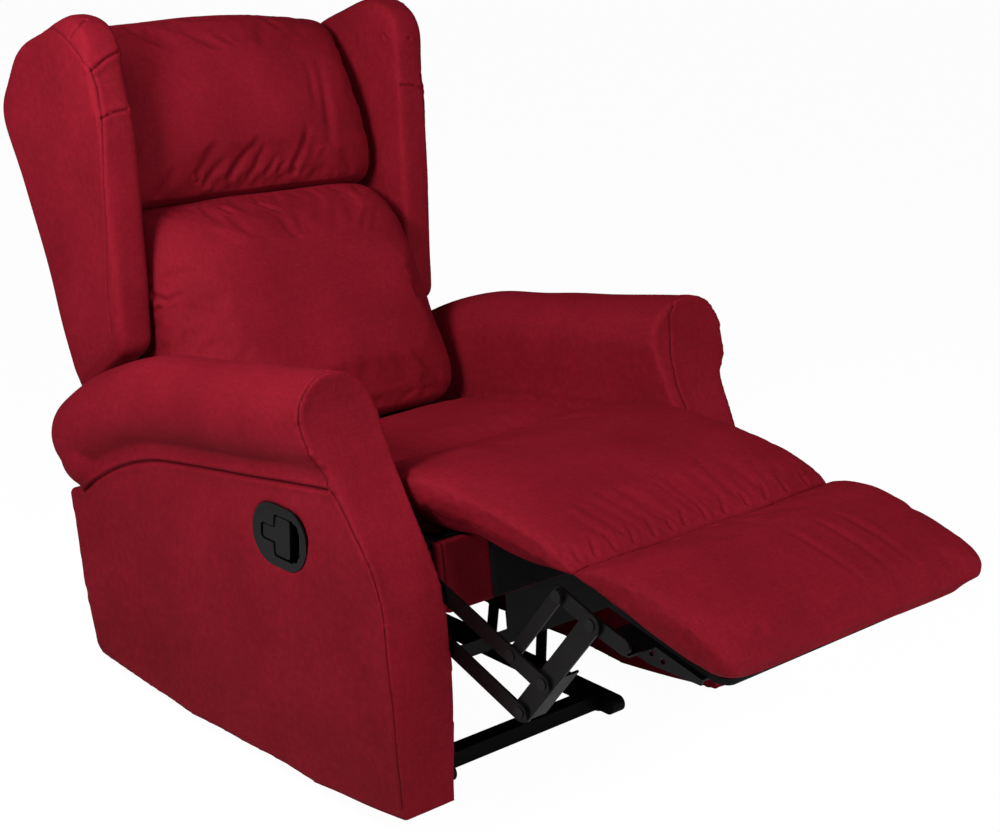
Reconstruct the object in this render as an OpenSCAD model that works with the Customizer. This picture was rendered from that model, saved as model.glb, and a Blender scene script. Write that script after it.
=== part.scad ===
// Wing-back reclining chair, shown open: back reclined, footrest out.
// Millimetres. The chair faces -Y, +X is the sitter's left, the floor is z = 0.

/* [Arms and seat] */
// Inside width between the two arms
seat_gap = 519; // [510:1:530]
// Thickness of an arm below its roll
arm_thick = 102; // [96:1:108]
// Depth of an arm from front to back
arm_depth = 737; // [725:1:755]
// Height of the seam under the arm roll, above the foot of the arm
seam_h = 420; // [410:1:424]
// Radius of the rolled arm pad
roll_r = 64.5; // [60:0.5:68]
// Sweep radius of the arm's top edge towards the back
sweep_r = 500; // [470:1:560]
// How far the arm front bows out below the seat
front_bow = 22; // [12:1:30]
// How far the arm front steps back between seat and roll
front_step = 107; // [95:1:115]
// Thickness of the sewn facing on the arm front
facing_t = 14; // [10:1:18]
// Thickness of the wooden board inside each arm
arm_board_t = 18; // [15:1:22]
// Rise of the arm's bottom edge at the back
heel_rise = 96; // [80:1:105]
// Thickness of the seat cushion
seat_t = 82; // [76:1:84]
// Thickness of the pads over seat front and footrest
pad_t = 80; // [74:1:82]
// Width of the pads over seat front and footrest
pad_w = 476; // [460:1:478]
// Distance of the crease between front pad and seat cushion behind the arm front
crease_y = 190; // [180:1:200]
// Depth of the seat cushion
seat_d = 394; // [386:1:396]

/* [Back] */
// Height of the back above its hinge
back_h = 772; // [750:1:790]
// Distance from the back hinge to the rear face of the back
back_rear = 110; // [106:1:116]
// Thickness of a wing
wing_t = 60; // [56:1:66]
// Depth of a wing at the head
wing_d = 274; // [260:1:285]
// Height of the lower edge of a wing above the back hinge
wing_foot = 262; // [260:1:275]
// Thickness of the upholstered rear panel
shell_t = 26; // [20:1:28]
// Height of the seam between head and lumbar cushions
head_seam = 488; // [475:1:500]
// Fullness of the head cushion
head_t = 116; // [105:1:125]
// Thickness of the lumbar cushion
lumbar_t = 164; // [150:1:168]

/* [Open pose] */
// Backward pitch of the whole body in the open pose
tilt = 9.4; // [9.2:0.1:9.6]
// Lean of the back against the body in the open pose
recline = 15.8; // [15.4:0.1:16.2]
// Height of the arm's front foot above the floor
front_lift = 73; // [72.8:0.1:73.6]
// Slope of the footrest against the body
footrest_slope = 21.5; // [20.5:0.1:22.5]
// Angle that the footrest links turn through to close
fold_range = 74.6; // [72:0.1:75]

/* [Mechanism] */
// Thickness of a link
link_t = 4; // [3:0.5:4]
// Space between neighbouring links
link_gap = 1; // [0.9:0.1:1.2]
// Thickness of a side plate
plate_t = 3; // [2.5:0.5:3.5]
// Half the width of a link
link_r = 12; // [10:0.5:12.5]
// Radius of the link pivots
pivot_r = 4; // [3.5:0.1:4.5]
// Running clearance around a pivot
fit = 0.05; // [0.03:0.01:0.08]
// Length of the parallel links between their pivots
link_len = 220; // [217:1:223]
// Slope of the parallel links when open
link_slope = 27.5; // [27:0.5:28.5]
// Length of the wide cross link from knee to footrest
cross_len = 190; // [187:1:193]
// Rise of the cross link towards the footrest
cross_rise = 45; // [44:0.5:46]
// Distance of the crossing pivot from the knee
cross_pin = 65; // [63:1:67]
// Spacing of the two pivots that turn the footrest
guide_span = 60; // [58:1:63]
// Side of the square drive tube
tube_s = 20; // [16:1:20]
// Length of the footrest pad
rest_len = 246; // [238:1:248]

/* [Base] */
// Distance between the middles of the two floor rails
rail_span = 340; // [334:1:344]
// Side of the square floor rails
rail_s = 25; // [23:1:26]
// Wall of the base tubes
rail_wall = 2; // [1.5:0.5:2.5]
// Length of a floor rail
rail_len = 515; // [505:1:525]
// Radius of the pivot bosses on the base
boss_r = 11; // [10:0.5:12]

/* [Release handle] */
// Length of the oval handle bezel
bezel_l = 118; // [112:1:124]
// Height of the oval handle bezel
bezel_h = 86; // [80:1:90]
// Depth of the handle pocket
pocket_d = 34; // [30:1:38]

/* [Hidden] */
$fn = 72;
soft_gap = 0.3;
seam_gap = 0.5;

// Places in the body's own frame, as [y, z]
deck_z = 330;
deck_t = 35;
bend_y = 440;
drive_at = [63, 236];
back_at = [crease_y + seat_d + 6, 285];
tube_at = back_at - [30, 185];
tie_at = back_at + [10, -85];
handle_at = [188, 346];
handle_pitch = 9;

// Places on the floor, as [y, z]
tilt_at = [300, 106];
tie_base_at = [397.7, 247.3];
rail_front = 125;
glide_t = 4;

// Layers outward from the middle of the chair
in_x = seat_gap / 2;
x_plate = in_x - plate_t;
x_a = x_plate - 2 * link_gap - link_t;
x_b = x_a - link_gap - link_t;
x_c = x_b - link_gap - link_t;
arm_x = in_x + arm_thick;
roll_x = in_x + roll_r;
back_x = in_x - 9.5;

// Pivots of the footrest links, open
function at(t) = [cos(t), sin(t)];
function turned(p, t) = [p.x * cos(t) - p.y * sin(t), p.x * sin(t) + p.y * cos(t)];
function slope(p) = atan2(p.y, p.x);
cross_dir = at(180 - cross_rise);
piv_a = drive_at;
piv_b = piv_a + cross_pin * cross_dir;
piv_c = piv_a - link_len * at(link_slope);
piv_d = piv_c + cross_pin * cross_dir;
piv_e = piv_d + guide_span * at(link_slope);
piv_f = piv_c + cross_len * cross_dir;
piv_g = piv_f + guide_span * at(link_slope);
tube_y = piv_a + 30 * at(link_slope);

// The footrest hangs from its bracket; its pad meets the flap at a seam
board_t = 9;
board_w = pad_t / 2 + soft_gap;
flange_w = board_w + board_t;
pivot_w = flange_w - 7;
pivot_s = 49.1;
rest_turn = 180 + footrest_slope;
function on_rest(s, w) = s * at(rest_turn) + w * at(rest_turn + 90);
seam_open = piv_f - on_rest(pivot_s, pivot_w);
swing = link_len * (at(180 + link_slope + fold_range) - at(180 + link_slope));
seam_shut = piv_f + swing + turned(seam_open - piv_f, fold_range);

// The flap folds where both seam places are equally far, at mid pad height
pad_z = deck_z + soft_gap + pad_t / 2;
seam_mid = (seam_open + seam_shut) / 2;
seam_run = seam_shut - seam_open;
fold_at = [seam_mid.x - seam_run.y * (pad_z - seam_mid.y) / seam_run.x, pad_z];
flap_len = norm(seam_open - fold_at);
flap_turn = slope(seam_open - fold_at) + 360;
fold_turn = slope(seam_shut - fold_at) + 360 - flap_turn;
seam_dip = (rest_turn - flap_turn) / 2;

// Reach of the open chair, which sets the middle of its footprint
function on_floor(p) = turned(p, -tilt) + [0, front_lift];
tip_bulge = 1.5;
front_reach = on_floor(seam_open + on_rest(rest_len, 0)).x - tip_bulge;
function on_back(u, v) = back_at + turned([u, v], -recline);
shell_top = [back_rear - shell_t, back_h - 44];
rear_reach = on_floor(on_back(shell_top.x, shell_top.y)).x + shell_t;
mid_y = (front_reach + rear_reach) / 2;

module on_base() { translate([0, -mid_y, 0]) children(); }
module on_body() { translate([0, -mid_y, front_lift]) rotate([-tilt, 0, 0]) children(); }
module at_yz(p) { translate([0, p.x, p.y]) children(); }
module in_back() { on_body() at_yz(back_at) rotate([-recline, 0, 0]) children(); }
module in_rest() { on_body() at_yz(seam_open) rotate([rest_turn, 0, 0]) children(); }

// Extrudes a [y, z] outline along X from x0 to x1
module across(x0, x1) {
  translate([x0, 0, 0]) rotate([90, 0, 90]) linear_extrude(x1 - x0) children();
}

module rod(p, r, x0, x1) { across(x0, x1) translate(p) circle(r); }

// A round-ended bar; its sides sit just inside the round ends, as a rolled edge does
module bar(p, q, r) {
  run = q - p;
  side_r = 0.98 * r;
  translate(p) circle(r);
  translate(q) circle(r);
  translate(p) rotate(slope(run)) translate([0, -side_r]) square([norm(run), 2 * side_r]);
}

module hole(p, r) { translate(p) circle(r); }
module side(s) { mirror([s < 0 ? 1 : 0, 0, 0]) children(); }
module both() { side(1) children(); side(-1) children(); }

// Rounded outlines for the soft forms
function unit(p) = p / norm(p);
function corner(p, q, r, s, n) =
  let (a = unit(p - q), b = unit(s - q), half = acos(a * b) / 2)
  let (c = q + unit(a + b) * r / sin(half), t0 = slope(q + a * r / tan(half) - c))
  let (t1 = slope(q + b * r / tan(half) - c), step = t1 < t0 ? t1 + 360 - t0 : t1 - t0)
  [for (i = [0:n]) c + r * at(t0 + step * i / n)];
function rounded(c, n = 4) =
  [for (i = [0:len(c) - 1]) let (p = c[(i + len(c) - 1) % len(c)], s = c[(i + 1) % len(c)])
    each corner([p.x, p.y], [c[i].x, c[i].y], c[i].z, [s.x, s.y], n)];

// Crown and drawn-in sides: station across, share of thickness, share of length
cushion_rows = [[1, 0.5, 0.95], [0.965, 0.76, 0.985], [0.89, 0.9, 1], [0.7, 0.97, 1], [0.35, 1, 1]];
panel_rows = [[1, 0.9, 0.95], [0.8, 0.98, 0.99], [0.4, 1, 1]];
function mirrored(rows) = concat(
  [for (r = rows) [-r[0], r[1], r[2]]],
  [for (i = [len(rows) - 1:-1:0]) rows[i]]);

// A closed cushion: the outline is drawn in towards the sides about its middle
module soft(outline, mid, width, rows) {
  st = mirrored(rows);
  n = len(outline);
  m = len(st);
  points = [for (r = st) for (p = outline)
    [r[0] * width / 2, mid.x + (p.x - mid.x) * r[2], mid.y + (p.y - mid.y) * r[1]]];
  walls = [for (i = [0:m - 2]) for (j = [0:n - 1])
    let (k = i * n + j, l = i * n + (j + 1) % n) each [[k, k + n, l + n], [k, l + n, l]]];
  caps = [[for (j = [0:n - 1]) j], [for (j = [n - 1:-1:0]) (m - 1) * n + j]];
  polyhedron(points, concat(walls, caps), convexity = 6);
}

// A shouldered rivet through the links between x0 and x1; it is fast in the outer one
module rivet(p, x0, x1) {
  head_r = 2 * pivot_r;
  head_t = 2;
  play = 0.2;
  rod(p, head_r, x0 - play - head_t, x0 - play);
  rod(p, pivot_r, x0 - play, x1);
  rod(p, pivot_r + 3, x0 + link_t + play, x1 - link_t);
  rod(p, head_r, x1, x1 + 1.5);
}

// A stud from the side plate that carries the link between x0 and x0 + link_t
module stud(p, x0) {
  play = 0.2;
  rod(p, 2 * pivot_r, x0 - play - 2, x0 - play);
  rod(p, pivot_r, x0 - play, x_plate);
  rod(p, pivot_r + 3, x0 + link_t + play, x_plate);
}

// Floor base
stop_y = on_floor(tube_at).x;
tube_r = 11;
stop_top = on_floor(tube_at).y - tube_r - 0.1;
stop_pad = 12;
module base_rail() {
  top = glide_t + rail_s;
  translate([rail_span / 2 - rail_s / 2, rail_front, glide_t]) difference() {
    cube([rail_s, rail_len, rail_s]);
    translate([rail_wall, -1, rail_wall])
      cube([rail_s - 2 * rail_wall, rail_len + 2, rail_s - 2 * rail_wall]);
  }
  translate([rail_span / 2 - 11, stop_y - 13, top]) cube([22, 26, stop_top - stop_pad - top]);
}
module base_rail_left() { color("#17181a") on_base() side(1) base_rail(); }
module base_rail_right() { color("#17181a") on_base() side(-1) base_rail(); }

module cross_rail(y) {
  span = rail_span - rail_s;
  translate([-span / 2, y, glide_t]) difference() {
    cube([span, rail_s, rail_s]);
    translate([-1, rail_wall, rail_wall])
      cube([span + 2, rail_s - 2 * rail_wall, rail_s - 2 * rail_wall]);
  }
}
module base_front_bar() { color("#17181a") on_base() cross_rail(rail_front + 21); }
module base_rear_bar() { color("#17181a") on_base() cross_rail(rail_front + rail_len - 60); }

module rail_plugs() {
  stub = 16;
  r = rail_s / 2;
  core = rail_s - 2 * rail_wall;
  color("#202124") on_base() both()
    for (end = [0, 1])
      translate([rail_span / 2, rail_front + end * rail_len, glide_t + r]) rotate([0, 0, 180 * end]) {
        translate([-core / 2, 0, -core / 2]) cube([core, stub, core]);
        intersection() {
          rotate([0, 90, 0]) translate([0, 0, -r]) cylinder(r = r, h = rail_s);
          translate([-r, -rail_s, -r]) cube([rail_s, rail_s, rail_s]);
        }
      }
}

module floor_glides() {
  color("#2a2a2c") on_base() both()
    for (y = [rail_front + 30, rail_front + rail_len - 30])
      translate([rail_span / 2, y, 0]) cylinder(r = rail_s / 2, h = glide_t);
}

module base_upright() {
  x0 = rail_span / 2 + rail_s / 2;
  post_r = 10;
  foot_z = glide_t + post_r;
  across(x0, x0 + 5) {
    bar([tilt_at.x, foot_z], tilt_at, post_r);
    bar([tilt_at.x, foot_z], [tie_base_at.x + 20, foot_z], post_r);
    bar([tie_base_at.x + 20, foot_z], tie_base_at, post_r);
    bar(tilt_at, [tie_base_at.x + 12, tilt_at.y + 12], post_r * 0.8);
  }
  rod(tilt_at, boss_r, x0 + 5, x0 + 34);
  rod(tilt_at, 6, x0 + 34, in_x - 0.5);
  rod(tie_base_at, 9, x0 + 5, x_b - 0.2);
  rod(tie_base_at, pivot_r, x_b - 0.2, x_b + link_t + 0.3);
  rod(tie_base_at, 2 * pivot_r, x_b + link_t + 0.3, x_b + link_t + 2.3);
}
module base_upright_left() { color("#17181a") on_base() side(1) base_upright(); }
module base_upright_right() { color("#17181a") on_base() side(-1) base_upright(); }

module stop_bumpers() {
  color("#1c1c1d") on_base() both()
    translate([rail_span / 2, stop_y, stop_top - stop_pad]) cylinder(r = 10, h = stop_pad);
}

// Tilting body: steel and timber
function on_tilted(p) = turned(p - [0, front_lift], tilt);
hub = on_tilted(tilt_at);
module side_plate() {
  hub_x = rail_span / 2 + rail_s / 2 + 34.5;
  across(x_plate, in_x) difference() {
    union() {
      bar(piv_b, back_at, 15);
      bar(piv_a, hub, 16);
      bar(hub, back_at, 16);
      bar(back_at, tube_at, 16);
      polygon([piv_b, piv_a, hub, back_at]);
    }
    hole(piv_a, pivot_r);
    hole(piv_b, pivot_r);
    hole(hub, 6 + fit);
  }
  across(hub_x, x_plate) difference() {
    translate(hub) circle(boss_r + 2);
    hole(hub, 6 + fit);
  }
  translate([x_c - deck_t, 140, deck_z - deck_t - plate_t]) cube([in_x - x_c + deck_t, 380, plate_t]);
}
module side_plate_left() { color("#1b1c1e") on_body() side(1) side_plate(); }
module side_plate_right() { color("#1b1c1e") on_body() side(-1) side_plate(); }

module pivot_pins() {
  color("#3a3b3e") on_body() both() {
    stud(piv_a, x_a);
    stud(piv_b, x_a);
    stud(back_at, x_c);
  }
  color("#3a3b3e") on_body() side(-1) handle_place() hinge_pin(2.5, pin_l);
}

module rear_cross_tube() {
  color("#17181a") on_body() across(-x_plate, x_plate) difference() {
    translate(tube_at) circle(tube_r);
    hole(tube_at, tube_r - rail_wall);
  }
}

apron_y = 18;
apron_t = 15;
apron_z = 232;
module front_cross_angle() {
  y = apron_y + apron_t;
  color("#17181a") on_body() {
    translate([-115, y, 160]) cube([230, plate_t, 100]);
    translate([-200, y, 158]) cube([400, plate_t, 20]);
    translate([-200, y, 158]) cube([400, 30, plate_t]);
  }
}

module seat_frame() {
  w = x_c - 2.5;
  y0 = apron_y + apron_t;
  y1 = back_at.x + 10;
  rail = 27;
  color("#c9a878") on_body() translate([0, 0, deck_z - deck_t]) {
    translate([-w, y0, 0]) cube([2 * w, rail, deck_t]);
    translate([-w, y1 - rail, 0]) cube([2 * w, rail, deck_t]);
    both() translate([w - 30, y0 + rail, 0]) cube([30, y1 - y0 - 2 * rail, deck_t]);
  }
}

// Sinuous seat springs: straight runs joined by half rings at alternate ends
module sinuous(runs, pitch, half) {
  wire = 1.6;
  for (i = [0:runs - 1]) {
    translate([-half, i * pitch - wire]) square([2 * half, 2 * wire]);
    if (i < runs - 1) translate([i % 2 == 0 ? half : -half, (i + 0.5) * pitch])
      rotate(i % 2 == 0 ? 0 : 180) difference() {
        circle(pitch / 2 + wire, $fn = 24);
        circle(pitch / 2 - wire, $fn = 24);
        translate([-pitch, -pitch]) square([pitch, 2 * pitch]);
      }
  }
}
module seat_springs() {
  runs = 12;
  wire_t = 3.2;
  y0 = apron_y + apron_t + 27;
  run = back_at.x - 17 - y0;
  pitch = run / runs;
  color("#8d9094") on_body() for (x = [-150, -50, 50, 150])
    translate([x, y0 + pitch / 2, deck_z - wire_t]) linear_extrude(wire_t) {
      sinuous(runs, pitch, 10);
      translate([-4, -pitch / 2]) square([8, pitch / 2]);
      translate([-4, (runs - 1) * pitch]) square([8, pitch / 2]);
    }
}

// Tilting body: arms
function eased(t) = t * t * (3 - 2 * t);
function front_y(z) = z <= 240
  ? 5 - front_bow * (1 - pow((z - 240) / 240, 2))
  : 5 - front_bow + front_step * eased(min(1, (z - 240) / 300));
front_rows = [0, 60, 120, 180, 240, 280, 320, 360, 400, 440, 480, 520, 600];
function front_line(back) = [for (z = front_rows) [front_y(z) + back, z]];
bend_drop = sweep_r - seam_h;
sweep_turn = 27;
arm_end = bend_y + sweep_r * sin(sweep_turn);
arm_end_z = sweep_r * cos(sweep_turn) - bend_drop;

// Side outline of an arm below its roll, set in by the given amounts
module arm_side(front, top) {
  heel = heel_rise / 96;
  keel = [[arm_depth - 17 - top, heel_rise], [483, 39 * heel], [300, 17 * heel], [200, 0]];
  intersection() {
    polygon(concat(keel, front_line(front), [[bend_y, 600], [arm_end, 600], [arm_end, arm_end_z - top],
      [arm_depth - top, arm_end_z - 16 - top]]));
    union() {
      translate([-100, -1]) square([bend_y + 100, seam_h + 1 - top]);
      translate([bend_y, -bend_drop]) circle(sweep_r - top, $fn = 180);
      translate([arm_end, -1]) square([arm_depth, arm_end_z + 1]);
    }
  }
}

// Section of an arm, x against z
module arm_section() {
  r = arm_thick / 102;
  polygon([[in_x, 0], [in_x + 84 * r, 0], [in_x + 96 * r, 110], [arm_x, 230], [arm_x, 408],
    [arm_x - 2, seam_h], [in_x, seam_h]]);
}
module roll_section() {
  neck = roll_r + 15.5;
  translate([neck - roll_r + seam_h, 0]) translate([roll_r, 0]) circle(roll_r);
  translate([seam_h, in_x - roll_x]) square([neck, arm_thick]);
}

// Carries a [height, outward] section along the arm top, then down its sweep
module along_arm(run, turn) {
  translate([0, bend_y, 0]) rotate([0, -90, 0]) {
    rotate([90, 0, 0]) linear_extrude(run) children();
    if (turn > 0) translate([-bend_drop, 0, 0]) rotate_extrude(angle = turn, $fn = 180)
      translate([bend_drop, 0]) children();
  }
}

board_in = 3;
module arm_board() {
  across(in_x + board_in, in_x + board_in + arm_board_t) arm_side(facing_t + 12, 12);
}
module handle_place() {
  translate([arm_x, handle_at.x, handle_at.y]) rotate([handle_pitch, 0, 0]) children();
}
module stadium(l, h) {
  for (s = [-1, 1]) translate([s * (l - h) / 2, 0]) circle(h / 2);
  translate([-(l - h) / 2, -h / 2]) square([l - h, h]);
}
wall_t = 2.5;
module arm_panel() {
  difference() {
    intersection() {
      across(in_x, in_x + 2 * arm_thick) arm_side(facing_t, 0);
      translate([0, arm_depth + 50, 0]) rotate([90, 0, 0]) linear_extrude(arm_depth + 200) arm_section();
    }
    arm_board();
  }
}
module arm_panel_left() { color("#6d101c") on_body() side(1) arm_panel(); }
module arm_panel_right() {
  color("#6d101c") on_body() side(-1) difference() {
    arm_panel();
    handle_place() across(-pocket_d, 5) stadium(bezel_l - 8, bezel_h - 8);
  }
}
module arm_board_left() { color("#c9a878") on_body() side(1) arm_board(); }
module arm_board_right() { color("#c9a878") on_body() side(-1) arm_board(); }

module arm_pad() {
  mid_z = seam_h + 15.5 + roll_r;
  difference() {
    mirror([1, 0, 0]) along_arm(bend_y + 60, sweep_turn) translate([0, roll_x]) roll_section();
    across(in_x - 5, roll_x + roll_r + 5) polygon(concat([[-200, 0]], front_line(facing_t), [[-200, 600]]));
  }
  at_yz([bend_y, -bend_drop]) rotate([-sweep_turn, 0, 0]) translate([roll_x, 0, mid_z + bend_drop])
    intersection() {
      sphere(roll_r);
      translate([-100, 0, -100]) cube([200, 100, 200]);
    }
}
module arm_pad_left() { color("#7a1220") on_body() side(1) arm_pad(); }
module arm_pad_right() { color("#7a1220") on_body() side(-1) arm_pad(); }

module arm_facing() {
  intersection() {
    across(in_x, roll_x + roll_r + 1)
      polygon(concat(front_line(0), [for (i = [len(front_rows) - 1:-1:0]) front_line(facing_t)[i]]));
    translate([0, 200, 0]) rotate([90, 0, 0]) linear_extrude(300) union() {
      arm_section();
      translate([roll_x, 0]) rotate(90) mirror([0, 1]) roll_section();
    }
  }
}
module arm_facing_left() { color("#6d101c") on_body() side(1) arm_facing(); }
module arm_facing_right() { color("#6d101c") on_body() side(-1) arm_facing(); }

// Release handle in the right arm
hinge_u = bezel_l / 2 - 18;
pin_l = bezel_h - 30;
hinge_x = -13;
module hinge_pin(r, l) { translate([hinge_x, hinge_u, -l / 2]) cylinder(r = r, h = l, $fn = 32); }
module handle_bezel() {
  inner = 2 * (4 + wall_t);
  color("#131313") on_body() side(-1) handle_place() difference() {
    union() {
      across(0, 3) difference() {
        stadium(bezel_l, bezel_h);
        stadium(bezel_l - inner, bezel_h - inner);
      }
      across(-pocket_d + wall_t, 0) difference() {
        stadium(bezel_l - 8, bezel_h - 8);
        stadium(bezel_l - inner, bezel_h - inner);
      }
      across(-pocket_d, -pocket_d + wall_t) stadium(bezel_l - 8, bezel_h - 8);
    }
    hinge_pin(2.5, pin_l);
  }
}
module handle_paddle() {
  reach = bezel_l / 2 - 24;
  barrel = 24;
  color("#1a1a1a") on_body() side(-1) handle_place() difference() {
    union() {
      across(-9, -2) {
        bar([hinge_u - 4, 0], [0, 0], 10);
        bar([-10, 10], [-reach + 14, 8], 15);
        bar([2, -12], [-reach + 22, -16], 10);
      }
      hinge_pin(6, barrel);
    }
    hinge_pin(2.5 + fit, 2 * barrel);
  }
}

// Tilting body: seat
module front_apron() {
  w = x_c - 2.5;
  r = 14;
  h = deck_z - 2 - apron_z;
  color("#6d101c") on_body() translate([0, apron_y + apron_t, apron_z]) rotate([90, 0, 0])
    linear_extrude(apron_t) {
      translate([-w, r]) square([2 * w, h - r]);
      translate([-w + r, 0]) square([2 * (w - r), r]);
      for (s = [-1, 1]) translate([s * (w - r), r]) circle(r);
    }
}

module rear_panel() {
  color("#5c0d18") on_body() translate([-in_x, arm_depth - 32, 110]) cube([2 * in_x, 15, 92]);
}

module seat_cushion() {
  z0 = deck_z + soft_gap;
  y0 = crease_y + soft_gap / 2;
  y1 = crease_y + seat_d;
  outline = rounded([[y0, z0, 12], [y1, z0, 16], [y1, z0 + 56, 22], [bend_y, z0 + seat_t + 2, 90],
    [y0, z0 + seat_t, 20]]);
  color("#7a1220") on_body() soft(outline, [(y0 + y1) / 2, z0 + seat_t / 2], 2 * x_plate - 3, cushion_rows);
}

mitre = (360 - flap_turn - fold_turn) / 2 - 0.6;
cord_r = 2;
fold_gap = cord_r + 0.5;
module crease_cord() {
  color("#4d0b15") on_body() rod(fold_at, cord_r, 25 - pad_w / 2, pad_w / 2 - 25);
}

module chaise_pad_rear() {
  h = pad_t / 2;
  lean = flap_turn / 2 - 90;
  l = crease_y - soft_gap / 2 - fold_at.x;
  outline = rounded([[fold_gap, -0.5, 1], [h / tan(mitre) + fold_gap, -h, 4], [l, -h, 12], [l, h, 20],
    [fold_gap - h * tan(lean), h, 14]], 3);
  color("#7a1220") on_body() at_yz(fold_at) soft(outline, [l / 2, 0], pad_w, cushion_rows);
}
module chaise_pad_front() {
  h = pad_t / 2;
  lean = flap_turn / 2 - 90;
  l = flap_len - seam_gap;
  run = h * tan(seam_dip);
  outline = rounded([[fold_gap, 0.5, 1], [fold_gap - h * tan(lean), -h, 14], [l + run, -h, 14],
    [l - run, h, 14], [h / tan(mitre) + fold_gap, h, 4]], 3);
  color("#7a1220") on_body() at_yz(fold_at) rotate([flap_turn, 0, 0])
    soft(outline, [l / 2, 0], pad_w, cushion_rows);
}

// Folding footrest
bracket_x = 196;
module footrest_cushion() {
  h = pad_t / 2;
  lean = h * tan(seam_dip);
  outline = rounded([[seam_gap - lean, -h, 14], [rest_len, -h, 38], [rest_len, h, 38],
    [seam_gap + lean, h, 14]]);
  color("#7a1220") in_rest() soft(outline, [rest_len / 2, 0], pad_w, cushion_rows);
}

module footrest_board() {
  w = bracket_x - 6;
  r = 20;
  s0 = 22;
  s1 = rest_len - 31;
  color("#2a211c") in_rest() translate([0, 0, board_w]) linear_extrude(board_t) {
    translate([-w, s0]) square([2 * w, s1 - s0 - r]);
    translate([-w + r, s0]) square([2 * (w - r), s1 - s0]);
    for (s = [-1, 1]) translate([s * (w - r), s1 - r]) circle(r);
  }
}

on_g = [pivot_s, pivot_w] + turned(piv_g - piv_f, -rest_turn);
module footrest_bracket() {
  s0 = 62;
  s1 = 190;
  ear = s0 + 50;
  across(x_c, x_c + link_t) difference() {
    union() {
      bar(on_g, [pivot_s, pivot_w], link_r - 1);
      bar([pivot_s, pivot_w], [ear - link_r, flange_w - 6], link_r - 1);
    }
    hole([pivot_s, pivot_w], pivot_r + fit);
    hole(on_g, pivot_r + soft_gap);
  }
  across(bracket_x, bracket_x + link_t) difference() {
    polygon([[s0, flange_w], [s0, flange_w + 28], [ear, flange_w + 26], [s1, flange_w + 8], [s1, flange_w]]);
    for (s = [s0 + 10:19:s0 + 67]) hole([s, flange_w + 11], pivot_r);
  }
  translate([bracket_x - 30, s0, flange_w]) cube([30 + link_t, s1 - s0, plate_t]);
  translate([bracket_x, s0, flange_w]) cube([x_c + link_t - bracket_x, ear - s0, plate_t]);
}
module footrest_bracket_left() { color("#17181a") in_rest() side(1) footrest_bracket(); }
module footrest_bracket_right() { color("#17181a") in_rest() side(-1) footrest_bracket(); }

// Footrest links: two parallel links, a wide cross link and a guide link on each side
module drive_link() {
  across(x_a, x_a + link_t) difference() {
    union() {
      bar(tube_y, piv_a, link_r);
      bar(piv_a, piv_c, link_r);
    }
    hole(piv_a, pivot_r + fit);
    hole(piv_c, pivot_r);
  }
}
module drive_link_left() { color("#17181a") on_body() side(1) drive_link(); }
module drive_link_right() { color("#17181a") on_body() side(-1) drive_link(); }

module drive_tube() {
  core = tube_s - 2 * rail_wall;
  color("#17181a") on_body() across(-x_a, x_a) translate(tube_y) rotate(link_slope) difference() {
    square(tube_s, center = true);
    square(core, center = true);
  }
}

module crank_link() {
  across(x_a, x_a + link_t) difference() {
    bar(piv_b, piv_d, link_r);
    hole(piv_b, pivot_r + fit);
    hole(piv_d, pivot_r);
    hole(piv_e, pivot_r);
  }
}
module crank_link_left() { color("#1b1c1e") on_body() side(1) crank_link(); }
module crank_link_right() { color("#1b1c1e") on_body() side(-1) crank_link(); }

cross_r = link_r + 3;
cross_lip = 24;
module cross_link() {
  across(x_b, x_b + link_t) difference() {
    bar(piv_c, piv_f, cross_r);
    hole(piv_c, pivot_r + soft_gap);
    hole(piv_d, pivot_r + fit);
    hole(piv_f, pivot_r);
  }
  at_yz(piv_c) rotate([180 - cross_rise, 0, 0])
    translate([x_b - cross_lip, 4, cross_r - 3]) cube([cross_lip + link_t, cross_len / 2, 3]);
}
module cross_link_left() { color("#1b1c1e") on_body() side(1) cross_link(); }
module cross_link_right() { color("#1b1c1e") on_body() side(-1) cross_link(); }

module guide_link() {
  across(x_b, x_b + link_t) difference() {
    bar(piv_e, piv_g, link_r - 3);
    hole(piv_e, pivot_r + fit);
    hole(piv_g, pivot_r);
  }
}
module guide_link_left() { color("#17181a") on_body() side(1) guide_link(); }
module guide_link_right() { color("#17181a") on_body() side(-1) guide_link(); }

module knee_rivets() { color("#4a4b4e") on_body() both() rivet(piv_c, x_b, x_a + link_t); }
module crank_rivets() {
  color("#4a4b4e") on_body() both() {
    rivet(piv_d, x_b, x_a + link_t);
    rivet(piv_e, x_b, x_a + link_t);
  }
}
module cross_rivets() { color("#4a4b4e") on_body() both() rivet(piv_f, x_c, x_b + link_t); }
module guide_rivets() { color("#4a4b4e") on_body() both() rivet(piv_g, x_c, x_b + link_t); }

// Tie links that lean the back as the body tilts
module tie_link() {
  across(x_b, x_b + link_t) difference() {
    bar(tie_base_at, on_floor(tie_at), link_r - 1);
    hole(tie_base_at, pivot_r + fit);
    hole(on_floor(tie_at), pivot_r);
  }
}
module tie_link_left() { color("#17181a") on_base() side(1) tie_link(); }
module tie_link_right() { color("#17181a") on_base() side(-1) tie_link(); }
module tie_rivets() { color("#4a4b4e") on_base() both() rivet(on_floor(tie_at), x_c, x_b + link_t); }

// Reclining back
frame_u = 24;
frame_w = 40;
frame_d = back_rear - shell_t - frame_u;
frame_top = back_h - 30;
module back_frame() {
  color("#c9a878") in_back() {
    both() translate([x_c - frame_w, frame_u, 30]) cube([frame_w, frame_d, frame_top - 30]);
    for (v = [60, head_seam - 25, frame_top - frame_w])
      translate([frame_w - x_c, frame_u, v]) cube([2 * (x_c - frame_w), frame_d, frame_w]);
  }
}

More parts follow.
